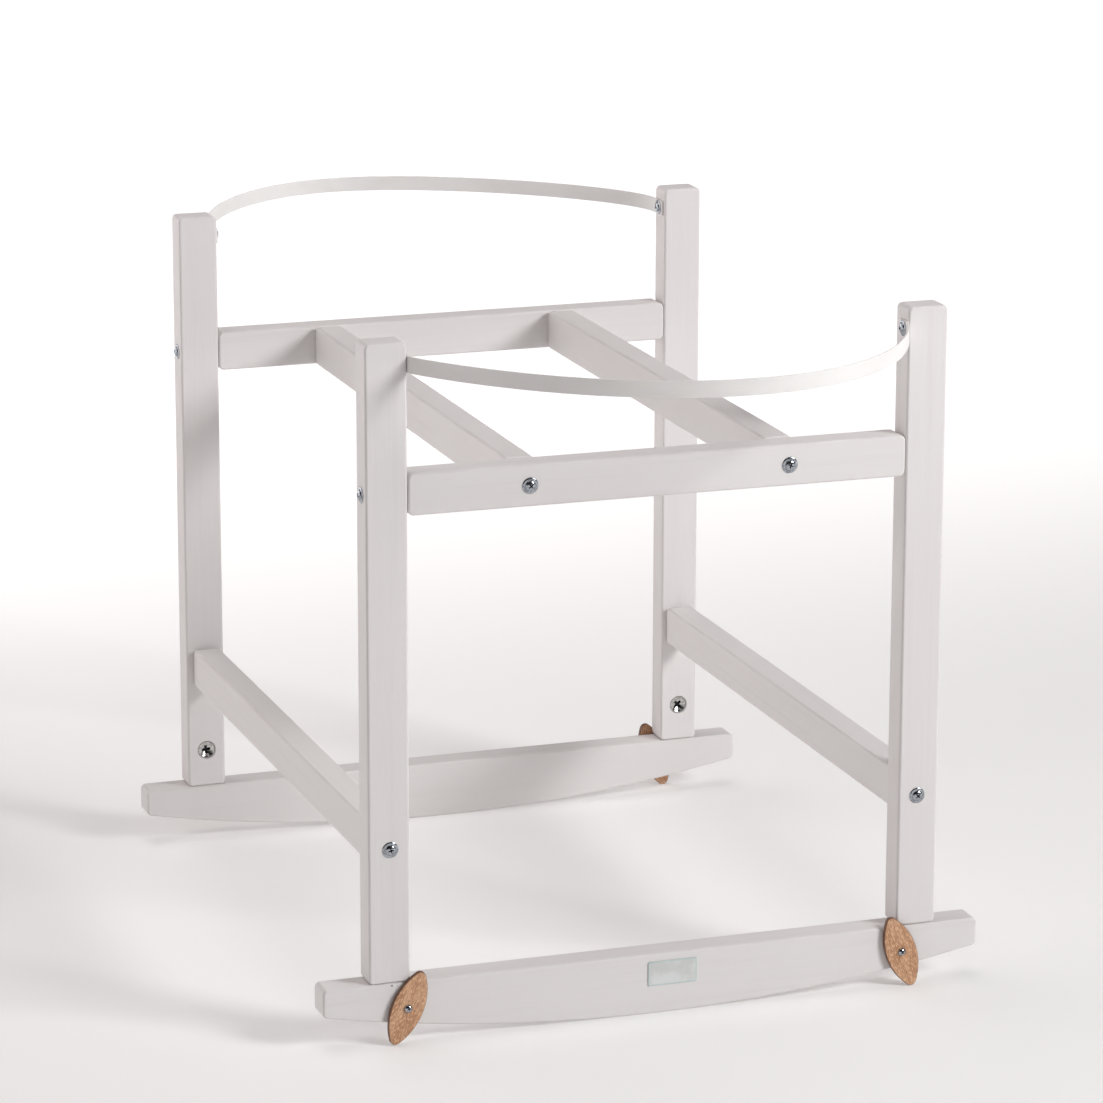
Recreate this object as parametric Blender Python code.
"""Rocking stand for a Moses basket: a painted wooden frame on two rockers, with four turning stops.

Metres, +Z up. X runs along the rockers, the way the stand rocks. Y runs from the front to the rear.
The origin is on the floor, below the middle of the stand, which stands level with its rockers at X = 0.
"""

import math

import bpy
from mathutils import Vector
from mathutils.geometry import interpolate_bezier

# ---- Driving dimensions ----
GAP = 0.0003               # between pieces that touch
FRAME_WIDTH = 0.500        # over the posts, along the rockers
FRAME_DEPTH = 0.600        # over the posts, front to rear
BOARD = 0.026              # thickness of the posts, rockers and end rails
ARRIS = 0.0022             # rounding on every wooden edge

POST_WIDTH = 0.035
POST_TOP = 0.586

ROCKER_LENGTH = 0.579
ROCKER_HEIGHT = 0.0525
ROCKER_RADIUS = 1.480      # of the underside
ROCKER_CORNER = 0.0045     # of the rocker's four corners, seen from the front

RAIL_HEIGHT = 0.035
RAIL_WIDTH = 0.024         # bearers and side rails
END_RAIL_TOP = 0.479
SIDE_RAIL_TOP = 0.1845
SIDE_RAIL_X = 0.2315
BEARER_X = 0.112

HOOP_HEIGHT = 0.0136
HOOP_THICKNESS = 0.0015
HOOP_Z = 0.5675            # middle of the strip, at its screws
HOOP_SCREW_SHIFT = {"front": 0.005, "rear": 0.0}  # outwards from the posts' mid depth
HOOP_REACH = 0.175         # from the posts' outer faces to the middle of the bow
HOOP_RISE = math.radians(1.1)                     # the bow tips up a little on its screws
HOOP_BEND_START = 0.0072   # from the screw to where the strip leaves its post
HOOP_TAB_END = 0.0085      # from the screw to the strip's end
# The two springy bows have set differently: how straight each runs out from its posts before it turns in,
# half of the flat stretch at its middle, and how far that middle sits to one side.
HOOP_SIDE_HANDLE = {"front": 0.004, "rear": 0.062}
HOOP_NOSE_HANDLE = {"front": 0.143, "rear": 0.104}
HOOP_LEAN = {"front": 0.0125, "rear": -0.040}

SCREW_FLANGE_RADIUS = 0.0068
SCREW_FLANGE_THICKNESS = 0.0008
SCREW_DOME_RADIUS = 0.0047
SCREW_DOME_HEIGHT = 0.0020
SCREW_SHANK_RADIUS = 0.0025
SCREW_POINT = 0.004
SCREW_INTO_RAIL = 0.034    # how far a frame screw runs into the end grain
SCREW_INTO_POST = 0.018    # how far a hoop's screw runs into its post
BORE_SPARE = 0.001         # of a blind hole past the point of what sits in it
THROUGH_SPARE = 0.002      # of a cutter past the far side of a through hole
RECESS_SPAN = 0.0050       # of the cross in a screw head
RECESS_SLOT = 0.0012
RECESS_DEPTH = 0.0018

CAM_RADIUS = 0.0080
CAM_DEPTH = 0.0125
CAM_HEIGHT = 0.034         # of the cam's centre above the post's foot
CAM_SUNK = 0.0006          # of the cam's face below the post's face
CAM_CHAMFER = 0.0006
CAM_CROSS_SPAN = 0.0085    # of the cross in the cam's face
CAM_CROSS_SLOT = 0.0022
CAM_CROSS_DEPTH = 0.0030
CAM_BORE_RADIUS = 0.0042   # the passage for the bolt's head inside the cam
BOLT_INSET = 0.0095        # of the bolt's axis from the post's inner face
BOLT_THREAD_RADIUS = 0.0030
BOLT_THREAD_LENGTH = 0.011
BOLT_SHANK_RADIUS = 0.0035
BOLT_NECK_RADIUS = 0.0020
BOLT_HEAD_RADIUS = 0.0033
BOLT_TAPER = 0.001         # length of the taper at each end of the bolt's thread and shank

DOWEL_RADIUS = 0.003
DOWEL_HALF = 0.0115        # length in each of the two pieces that it joins
DOWEL_CHAMFER = 0.0008
DOWEL_DROP = 0.010         # below the screw in a rail's end
DOWEL_ASIDE = 0.0105       # outboard of the cam bolt in a post's foot

STOP_LENGTH = 0.065
STOP_WIDTH = 0.0275
STOP_TIP_RADIUS = 0.005
STOP_THICKNESS = 0.0045
STOP_ARRIS = 0.0006
STOP_X = 0.2185
STOP_Z = 0.0311
STOP_TILT = {              # turn about +Y from upright, with the lower tip on the floor in three of them
    ("front", "left"): 23.0,
    ("front", "right"): -19.5,
    ("rear", "left"): 90.0,
    ("rear", "right"): -19.0,
}
STOP_SCREW_HEAD_RADIUS = 0.0034
STOP_SCREW_HEAD_HEIGHT = 0.0022
STOP_SCREW_RADIUS = 0.0020
STOP_SCREW_LENGTH = 0.018  # inside the rocker
STOP_SCREW_POINT = 0.003

LABEL_SIZE = (0.043, 0.0005, 0.021)
LABEL_CENTRE = (0.0133, 0.0352)                # X and Z on the front rocker's face

# ---- Worked out from the driving dimensions ----
ENDS = {"front": -1, "rear": 1}
SIDES = {"left": -1, "right": 1}
CORNERS = [(end, side) for end in ENDS for side in SIDES]
POST_X = (FRAME_WIDTH - POST_WIDTH) / 2
POST_Y = (FRAME_DEPTH - BOARD) / 2
HOOP_SCREW_Y = {end: POST_Y + shift for end, shift in HOOP_SCREW_SHIFT.items()}
POST_FOOT = ROCKER_HEIGHT + GAP
OUTER_Y = FRAME_DEPTH / 2
INNER_Y = OUTER_Y - BOARD                      # inner faces of the end rails and the posts
INNER_X = FRAME_WIDTH / 2 - POST_WIDTH         # inner side faces of the posts
END_RAIL_Z = END_RAIL_TOP - RAIL_HEIGHT / 2
SIDE_RAIL_Z = SIDE_RAIL_TOP - RAIL_HEIGHT / 2
CAM_Z = POST_FOOT + CAM_HEIGHT
BOLT_Y = INNER_Y + BOLT_INSET
ROUND_SIDES = 12
BORE_SIDES = 10
FINE_SIDES = 20
HOOP_STEPS = 15                                # points along each half of a bow


# ---- Scene, materials and small tools ----
def clear_scene():
    for thing in list(bpy.data.objects):
        bpy.data.objects.remove(thing, do_unlink=True)


def material(name, colour, roughness, metallic=0.0):
    made = bpy.data.materials.get(name)
    if made is None:
        made = bpy.data.materials.new(name)
        made.use_nodes = True
        shader = made.node_tree.nodes["Principled BSDF"]
        shader.inputs["Base Color"].default_value = (*colour, 1.0)
        shader.inputs["Roughness"].default_value = roughness
        shader.inputs["Metallic"].default_value = metallic
    return made


def white_paint():
    return material("white_paint", (0.80, 0.775, 0.765), 0.42)


def hoop_enamel():
    return material("hoop_enamel", (0.80, 0.79, 0.775), 0.38)


def zinc():
    return material("bright_zinc", (0.72, 0.72, 0.73), 0.25, 1.0)


def beech():
    return material("stained_beech", (0.52, 0.30, 0.18), 0.55)


def bare_wood():
    return material("dowel_beech", (0.66, 0.50, 0.33), 0.70)


def label_foil():
    return material("label_foil", (0.62, 0.66, 0.68), 0.35, 0.3)


def new_object(name, mesh, finish):
    made = bpy.data.objects.new(name, mesh)
    bpy.context.scene.collection.objects.link(made)
    if finish is not None:
        mesh.materials.append(finish)
    return made


def mesh_from(name, points, faces):
    mesh = bpy.data.meshes.new(name)
    mesh.from_pydata([tuple(point) for point in points], [], faces)
    mesh.validate()
    return mesh


def block_mesh(name, size):
    """A box centred on its own origin."""
    x, y, z = (length / 2 for length in size)
    points = [(i * x, j * y, k * z) for i in (-1, 1) for j in (-1, 1) for k in (-1, 1)]
    faces = [(0, 1, 3, 2), (4, 6, 7, 5), (0, 4, 5, 1), (2, 3, 7, 6), (0, 2, 6, 4), (1, 5, 7, 3)]
    return mesh_from(name, points, faces)


def prism_mesh(name, outline, thickness):
    """A flat outline in X and Z, given anticlockwise seen from -Y, made thick along Y about Y = 0."""
    count = len(outline)
    near = [(x, -thickness / 2, z) for x, z in outline]
    far = [(x, thickness / 2, z) for x, z in outline]
    faces = [tuple(range(count)), tuple(reversed(range(count, 2 * count)))]
    for i in range(count):
        j = (i + 1) % count
        faces.append((j, i, i + count, j + count))
    return mesh_from(name, near + far, faces)


def turned_mesh(name, profile, sides=ROUND_SIDES):
    """A solid turned about Z from (radius, height) points, top first; both ends lie on the axis."""
    points = []
    rings = []
    for radius, height in profile:
        if radius == 0.0:
            rings.append([len(points)])
            points.append((0.0, 0.0, height))
            continue
        rings.append(list(range(len(points), len(points) + sides)))
        for i in range(sides):
            angle = 2 * math.pi * i / sides
            points.append((radius * math.cos(angle), radius * math.sin(angle), height))
    faces = []
    for upper, lower in zip(rings, rings[1:]):
        for i in range(sides):
            j = (i + 1) % sides
            if len(upper) == 1:
                faces.append((upper[0], lower[i], lower[j]))
            elif len(lower) == 1:
                faces.append((upper[i], lower[0], upper[j]))
            else:
                faces.append((upper[i], lower[i], lower[j], upper[j]))
    return mesh_from(name, points, faces)


def shade_round(thing):
    thing.data.shade_smooth()
    thing.data.set_sharp_from_angle(angle=math.radians(35))


def round_arrises(thing, width=ARRIS, segments=2):
    bevel = thing.modifiers.new("arrises", "BEVEL")
    bevel.width = width
    bevel.segments = segments
    bevel.limit_method = "ANGLE"
    bevel.angle_limit = math.radians(40)


def aim(thing, direction):
    """Turns the object's own +Z to point along the direction."""
    thing.rotation_euler = Vector(direction).to_track_quat("Z", "Y").to_euler()


def cut(target, cutter_mesh, location, direction=(0, 0, 1)):
    """Takes a shape out of the target. The cutter stays in the file as a hidden guide."""
    cutter = new_object(f"cutter_{target.name}_{len(target.modifiers)}", cutter_mesh, None)
    cutter.location = location
    aim(cutter, direction)
    cutter.hide_render = True
    cutter.display_type = "WIRE"
    boolean = target.modifiers.new("cut", "BOOLEAN")
    boolean.operation = "DIFFERENCE"
    boolean.solver = "EXACT"
    boolean.object = cutter


def bore(target, mouth, inward, depth, radius, sides=BORE_SIDES):
    """A round hole from a point on the surface, running inward for its depth."""
    proud = 0.002
    profile = [(0.0, depth), (radius, depth), (radius, -proud), (0.0, -proud)]
    cut(target, turned_mesh("bore", profile, sides), mouth, inward)


def dowel_hole(target, mouth, inward):
    bore(target, mouth, inward, DOWEL_HALF + BORE_SPARE, DOWEL_RADIUS + GAP)


# ---- Wooden pieces ----
def wooden_block(name, size, location):
    made = new_object(name, block_mesh(name, size), white_paint())
    made.location = location
    round_arrises(made)
    return made


def post(end, side):
    ey = ENDS[end]
    sx = SIDES[side]
    height = POST_TOP - POST_FOOT
    made = wooden_block(
        f"post_{end}_{side}",
        (POST_WIDTH, BOARD, height),
        (sx * POST_X, ey * POST_Y, POST_FOOT + height / 2),
    )
    inner_x = sx * INNER_X
    inner_y = ey * INNER_Y
    clear = SCREW_SHANK_RADIUS + GAP
    end_rail_mouth = (sx * FRAME_WIDTH / 2, ey * POST_Y, END_RAIL_Z)
    bore(made, end_rail_mouth, (-sx, 0, 0), POST_WIDTH + THROUGH_SPARE, clear)
    side_rail_mouth = (sx * SIDE_RAIL_X, ey * OUTER_Y, SIDE_RAIL_Z)
    bore(made, side_rail_mouth, (0, -ey, 0), BOARD + THROUGH_SPARE, clear)
    hoop_mouth = (inner_x, ey * HOOP_SCREW_Y[end], HOOP_Z)
    bore(made, hoop_mouth, (sx, 0, 0), SCREW_INTO_POST + BORE_SPARE, clear)
    cam_depth = CAM_SUNK + CAM_DEPTH + GAP
    bore(made, (sx * POST_X, inner_y, CAM_Z), (0, ey, 0), cam_depth, CAM_RADIUS + GAP, FINE_SIDES)
    bolt_mouth = (sx * POST_X, ey * BOLT_Y, POST_FOOT)
    bore(made, bolt_mouth, (0, 0, 1), CAM_HEIGHT, BOLT_SHANK_RADIUS + GAP)
    foot_dowel = (sx * (POST_X + DOWEL_ASIDE), ey * POST_Y, POST_FOOT)
    dowel_hole(made, foot_dowel, (0, 0, 1))
    dowel_hole(made, (sx * SIDE_RAIL_X, inner_y, SIDE_RAIL_Z - DOWEL_DROP), (0, ey, 0))


def arc(centre_x, centre_z, radius, start, stop, steps):
    """Points along an arc, angles in degrees anticlockwise from +X, both ends included."""
    points = []
    for i in range(steps + 1):
        angle = math.radians(start + (stop - start) * i / steps)
        points.append((centre_x + radius * math.cos(angle), centre_z + radius * math.sin(angle)))
    return points


def rocker_outline():
    """Straight on top, arched below, with the four corners rounded."""
    half = ROCKER_LENGTH / 2
    r = ROCKER_CORNER
    # Each lower corner is a circle that touches the end face and the inside of the arched underside.
    corner_x = half - r
    corner_z = ROCKER_RADIUS - math.sqrt((ROCKER_RADIUS - r) ** 2 - corner_x ** 2)
    turn = math.degrees(math.asin(corner_x / (ROCKER_RADIUS - r)))
    top_z = ROCKER_HEIGHT - r
    outline = arc(0, ROCKER_RADIUS, ROCKER_RADIUS, -90 - turn, -90 + turn, 24)
    outline += arc(corner_x, corner_z, r, -90 + turn, 0, 3)[1:]
    outline += arc(corner_x, top_z, r, 0, 90, 3)
    outline += arc(-corner_x, top_z, r, 90, 180, 3)
    outline += arc(-corner_x, corner_z, r, 180, 270 - turn, 3)[:-1]
    return outline


def rocker(end):
    ey = ENDS[end]
    mesh = prism_mesh(f"rocker_{end}", rocker_outline(), BOARD)
    made = new_object(f"rocker_{end}", mesh, white_paint())
    made.location = (0, ey * POST_Y, 0)
    round_arrises(made)
    thread_depth = BOLT_THREAD_LENGTH + BORE_SPARE
    stop_depth = STOP_SCREW_LENGTH + BORE_SPARE
    for sx in SIDES.values():
        bolt_mouth = (sx * POST_X, ey * BOLT_Y, ROCKER_HEIGHT)
        bore(made, bolt_mouth, (0, 0, -1), thread_depth, BOLT_THREAD_RADIUS + GAP)
        dowel_hole(made, (sx * (POST_X + DOWEL_ASIDE), ey * POST_Y, ROCKER_HEIGHT), (0, 0, -1))
        pivot = (sx * STOP_X, ey * OUTER_Y, STOP_Z)
        bore(made, pivot, (0, -ey, 0), stop_depth, STOP_SCREW_RADIUS + GAP)


def end_rail(end):
    ey = ENDS[end]
    length = 2 * (INNER_X - GAP)
    made = wooden_block(f"end_rail_{end}", (length, BOARD, RAIL_HEIGHT), (0, ey * POST_Y, END_RAIL_Z))
    clear = SCREW_SHANK_RADIUS + GAP
    for sx in SIDES.values():
        mouth = (sx * length / 2, ey * POST_Y, END_RAIL_Z)
        bore(made, mouth, (-sx, 0, 0), SCREW_INTO_RAIL + BORE_SPARE, clear)
        bearer_mouth = (sx * BEARER_X, ey * OUTER_Y, END_RAIL_Z)
        bore(made, bearer_mouth, (0, -ey, 0), BOARD + THROUGH_SPARE, clear)
        dowel_hole(made, (sx * BEARER_X, ey * INNER_Y, END_RAIL_Z - DOWEL_DROP), (0, ey, 0))


def long_rail(name, x, z):
    """A bearer or a side rail: it runs front to rear, with a screw and a dowel in each end."""
    length = 2 * (INNER_Y - GAP)
    made = wooden_block(name, (RAIL_WIDTH, length, RAIL_HEIGHT), (x, 0, z))
    clear = SCREW_SHANK_RADIUS + GAP
    for ey in ENDS.values():
        bore(made, (x, ey * length / 2, z), (0, -ey, 0), SCREW_INTO_RAIL + BORE_SPARE, clear)
        dowel_hole(made, (x, ey * length / 2, z - DOWEL_DROP), (0, -ey, 0))


def dowel(name, location, direction):
    profile = [
        (0.0, DOWEL_HALF),
        (DOWEL_RADIUS - DOWEL_CHAMFER, DOWEL_HALF),
        (DOWEL_RADIUS, DOWEL_HALF - DOWEL_CHAMFER),
        (DOWEL_RADIUS, DOWEL_CHAMFER - DOWEL_HALF),
        (DOWEL_RADIUS - DOWEL_CHAMFER, -DOWEL_HALF),
        (0.0, -DOWEL_HALF),
    ]
    made = new_object(name, turned_mesh(name, profile), bare_wood())
    made.location = location
    aim(made, direction)
    shade_round(made)


# ---- Hoops ----
def hoop_line(end):
    """The strip's centre line in X and outward distance from the screws, left end to right end."""
    tab_x = INNER_X - GAP - HOOP_THICKNESS / 2
    nose = BOARD / 2 + HOOP_REACH - HOOP_SCREW_SHIFT[end]
    lean = HOOP_LEAN[end]
    halves = []
    for sx in SIDES.values():
        start = Vector((sx * tab_x, HOOP_BEND_START, 0))
        out = Vector((sx * tab_x, HOOP_BEND_START + HOOP_SIDE_HANDLE[end], 0))
        level = Vector((lean + sx * HOOP_NOSE_HANDLE[end], nose, 0))
        middle = Vector((lean, nose, 0))
        halves.append(interpolate_bezier(start, out, level, middle, HOOP_STEPS))
    left, right = halves
    left_tab = Vector((-tab_x, -HOOP_TAB_END, 0))
    right_tab = Vector((tab_x, -HOOP_TAB_END, 0))
    return [left_tab] + left + right[-2::-1] + [right_tab]


def hoop(end):
    ey = ENDS[end]
    line = hoop_line(end)
    count = len(line)
    points = []
    for i, point in enumerate(line):
        along = (line[min(i + 1, count - 1)] - line[max(i - 1, 0)]).normalized()
        across = Vector((along.y, -along.x, 0)) * HOOP_THICKNESS / 2
        for inner in (1, -1):
            for up in (-1, 1):
                place = point + across * inner
                points.append((place.x, ey * place.y, up * HOOP_HEIGHT / 2))
    faces = []
    for i in range(count - 1):
        a = 4 * i
        b = a + 4
        faces += [(a, b, b + 1, a + 1), (a + 3, b + 3, b + 2, a + 2)]
        faces += [(a + 2, b + 2, b, a), (a + 1, b + 1, b + 3, a + 3)]
    last = 4 * (count - 1)
    faces += [(0, 1, 3, 2), (last + 2, last + 3, last + 1, last)]
    if ey > 0:
        faces = [tuple(reversed(face)) for face in faces]
    made = new_object(f"hoop_{end}", mesh_from(f"hoop_{end}", points, faces), hoop_enamel())
    screw_y = ey * HOOP_SCREW_Y[end]
    made.location = (0, screw_y, HOOP_Z)
    made.rotation_euler = (ey * HOOP_RISE, 0, 0)
    for sx in SIDES.values():
        mouth = (sx * INNER_X, screw_y, HOOP_Z)
        bore(made, mouth, (-sx, 0, 0), HOOP_THICKNESS + THROUGH_SPARE, SCREW_SHANK_RADIUS + GAP)
    shade_round(made)


# ---- Fasteners ----
def cross_cutter(span, slot, depth):
    """A cross-shaped punch, standing on Z = 0 and reaching up past the head."""
    a = span / 2
    b = slot / 2
    outline = []
    for x, y in ((1, 0), (0, 1), (-1, 0), (0, -1)):
        # One arm's end and the inner corner after it, turned a quarter each time.
        for out, aside in ((a, -b), (a, b), (b, b)):
            outline.append((x * out - y * aside, y * out + x * aside))
    count = len(outline)
    points = [(x, y, 0.0) for x, y in outline] + [(x, y, depth) for x, y in outline]
    faces = [tuple(reversed(range(count))), tuple(range(count, 2 * count))]
    for i in range(count):
        j = (i + 1) % count
        faces.append((i, j, j + count, i + count))
    return mesh_from("cross_punch", points, faces)


def dome(radius, height, base, steps):
    """Profile points of a low dome, from its crown on the axis down to its rim."""
    points = []
    for i in range(steps + 1):
        angle = math.pi / 2 * i / steps
        points.append((radius * math.sin(angle), base + height * math.cos(angle)))
    return points


def flanged_screw(name, seat, outward, length):
    """A flanged dome-head screw. Its seat is where the flange's underside sits; its shank runs inward."""
    crown = SCREW_FLANGE_THICKNESS + SCREW_DOME_HEIGHT
    profile = dome(SCREW_DOME_RADIUS, SCREW_DOME_HEIGHT, SCREW_FLANGE_THICKNESS, 2)
    profile += [
        (SCREW_FLANGE_RADIUS, SCREW_FLANGE_THICKNESS / 2),
        (SCREW_FLANGE_RADIUS, 0.0),
        (SCREW_SHANK_RADIUS, 0.0),
        (SCREW_SHANK_RADIUS, SCREW_POINT - length),
        (0.0, -length),
    ]
    made = new_object(name, turned_mesh(name, profile), zinc())
    made.location = seat
    aim(made, outward)
    punch = cross_cutter(RECESS_SPAN, RECESS_SLOT, 2 * RECESS_DEPTH)
    floor = Vector(seat) + Vector(outward) * (crown - RECESS_DEPTH)
    cut(made, punch, floor, outward)
    shade_round(made)


def frame_screws():
    for end, side in CORNERS:
        ey = ENDS[end]
        sx = SIDES[side]
        tag = f"{end}_{side}"
        side_seat = (sx * SIDE_RAIL_X, ey * (OUTER_Y + GAP), SIDE_RAIL_Z)
        flanged_screw(f"screw_side_rail_{tag}", side_seat, (0, ey, 0), BOARD + SCREW_INTO_RAIL)
        end_seat = (sx * (FRAME_WIDTH / 2 + GAP), ey * POST_Y, END_RAIL_Z)
        flanged_screw(f"screw_end_rail_{tag}", end_seat, (sx, 0, 0), POST_WIDTH + SCREW_INTO_RAIL)
        bearer_seat = (sx * BEARER_X, ey * (OUTER_Y + GAP), END_RAIL_Z)
        flanged_screw(f"screw_bearer_{tag}", bearer_seat, (0, ey, 0), BOARD + SCREW_INTO_RAIL)
        hoop_seat = (sx * (INNER_X - HOOP_THICKNESS - 2 * GAP), ey * HOOP_SCREW_Y[end], HOOP_Z)
        flanged_screw(f"screw_hoop_{tag}", hoop_seat, (-sx, 0, 0), SCREW_INTO_POST + HOOP_THICKNESS)


def cam_lock(end, side):
    """A cam nut in the post's inner face, and the bolt that it pulls up out of the rocker."""
    ey = ENDS[end]
    sx = SIDES[side]
    x = sx * POST_X
    face_y = ey * (INNER_Y + CAM_SUNK)
    profile = [
        (0.0, 0.0),
        (CAM_RADIUS - CAM_CHAMFER, 0.0),
        (CAM_RADIUS, -CAM_CHAMFER),
        (CAM_RADIUS, -CAM_DEPTH),
        (0.0, -CAM_DEPTH),
    ]
    nut = new_object(f"cam_nut_{end}_{side}", turned_mesh("cam_nut", profile, FINE_SIDES), zinc())
    nut.location = (x, face_y, CAM_Z)
    aim(nut, (0, -ey, 0))
    punch = cross_cutter(CAM_CROSS_SPAN, CAM_CROSS_SLOT, 2 * CAM_CROSS_DEPTH)
    cut(nut, punch, (x, face_y + ey * CAM_CROSS_DEPTH, CAM_Z), (0, -ey, 0))
    passage_depth = CAM_RADIUS + BOLT_HEAD_RADIUS + BORE_SPARE
    bore(nut, (x, ey * BOLT_Y, CAM_Z - CAM_RADIUS), (0, 0, 1), passage_depth, CAM_BORE_RADIUS)
    shade_round(nut)

    shank_top = CAM_HEIGHT - CAM_RADIUS - BOLT_TAPER
    ball = dome(BOLT_HEAD_RADIUS, BOLT_HEAD_RADIUS, CAM_HEIGHT, 2)
    profile = ball + [
        (BOLT_NECK_RADIUS, CAM_HEIGHT - BOLT_HEAD_RADIUS),
        (BOLT_NECK_RADIUS, shank_top + BOLT_TAPER),
        (BOLT_SHANK_RADIUS, shank_top),
        (BOLT_SHANK_RADIUS, GAP),
        (BOLT_THREAD_RADIUS, 0.0),
        (BOLT_THREAD_RADIUS, BOLT_TAPER - BOLT_THREAD_LENGTH),
        (BOLT_NECK_RADIUS, -BOLT_THREAD_LENGTH),
        (0.0, -BOLT_THREAD_LENGTH),
    ]
    bolt = new_object(f"cam_bolt_{end}_{side}", turned_mesh("cam_bolt", profile), zinc())
    bolt.location = (x, ey * BOLT_Y, POST_FOOT)
    shade_round(bolt)


def dowels():
    for end, side in CORNERS:
        ey = ENDS[end]
        sx = SIDES[side]
        tag = f"{end}_{side}"
        foot = (sx * (POST_X + DOWEL_ASIDE), ey * POST_Y, ROCKER_HEIGHT)
        dowel(f"dowel_post_{tag}", foot, (0, 0, 1))
        side_joint = (sx * SIDE_RAIL_X, ey * INNER_Y, SIDE_RAIL_Z - DOWEL_DROP)
        dowel(f"dowel_side_rail_{tag}", side_joint, (0, 1, 0))
        bearer_joint = (sx * BEARER_X, ey * INNER_Y, END_RAIL_Z - DOWEL_DROP)
        dowel(f"dowel_bearer_{tag}", bearer_joint, (0, 1, 0))


# ---- Stops ----
def leaf_outline():
    """Two shallow arcs that meet in two rounded tips, upright, about the pivot."""
    tip = STOP_TIP_RADIUS
    reach = STOP_LENGTH / 2 - tip
    half = STOP_WIDTH / 2
    # The side arc passes through the widest point and touches the tips' circles.
    side = (reach ** 2 + half ** 2 - tip ** 2) / (2 * (half - tip))
    sweep = math.degrees(math.atan2(reach, side - half))
    outline = arc(half - side, 0, side, -sweep, sweep, 8)
    outline += arc(0, reach, tip, sweep, 180 - sweep, 5)[1:-1]
    outline += arc(side - half, 0, side, 180 - sweep, 180 + sweep, 8)
    outline += arc(0, -reach, tip, 180 + sweep, 360 - sweep, 5)[1:-1]
    return outline


def stop(end, side):
    """A leaf that turns on its screw. Its origin is on the pivot's axis."""
    ey = ENDS[end]
    sx = SIDES[side]
    pivot_y = ey * (OUTER_Y + GAP + STOP_THICKNESS / 2)
    name = f"stop_leaf_{end}_{side}"
    leaf = new_object(name, prism_mesh(name, leaf_outline(), STOP_THICKNESS), beech())
    leaf.location = (sx * STOP_X, pivot_y, STOP_Z)
    leaf.rotation_euler = (0, math.radians(STOP_TILT[(end, side)]), 0)
    round_arrises(leaf, STOP_ARRIS, 1)
    mouth = (sx * STOP_X, ey * (OUTER_Y + 2 * GAP + STOP_THICKNESS), STOP_Z)
    bore(leaf, mouth, (0, -ey, 0), STOP_THICKNESS + THROUGH_SPARE, STOP_SCREW_RADIUS + GAP)

    point = -STOP_SCREW_LENGTH - STOP_THICKNESS
    profile = dome(STOP_SCREW_HEAD_RADIUS, STOP_SCREW_HEAD_HEIGHT, 0.0, 3)
    profile += [
        (STOP_SCREW_RADIUS, 0.0),
        (STOP_SCREW_RADIUS, point + STOP_SCREW_POINT),
        (0.0, point),
    ]
    screw_name = f"stop_screw_{end}_{side}"
    screw = new_object(screw_name, turned_mesh(screw_name, profile), zinc())
    screw.location = mouth
    aim(screw, (0, ey, 0))
    shade_round(screw)


def label_plate():
    made = new_object("label_plate", block_mesh("label_plate", LABEL_SIZE), label_foil())
    x, z = LABEL_CENTRE
    made.location = (x, -(OUTER_Y + GAP + LABEL_SIZE[1] / 2), z)


# ---- The stand ----
clear_scene()
for end, side in CORNERS:
    post(end, side)
    cam_lock(end, side)
    stop(end, side)
for end in ENDS:
    rocker(end)
    end_rail(end)
    hoop(end)
for side, sx in SIDES.items():
    long_rail(f"bearer_{side}", sx * BEARER_X, END_RAIL_Z)
    long_rail(f"side_rail_{side}", sx * SIDE_RAIL_X, SIDE_RAIL_Z)
frame_screws()
dowels()
label_plate()
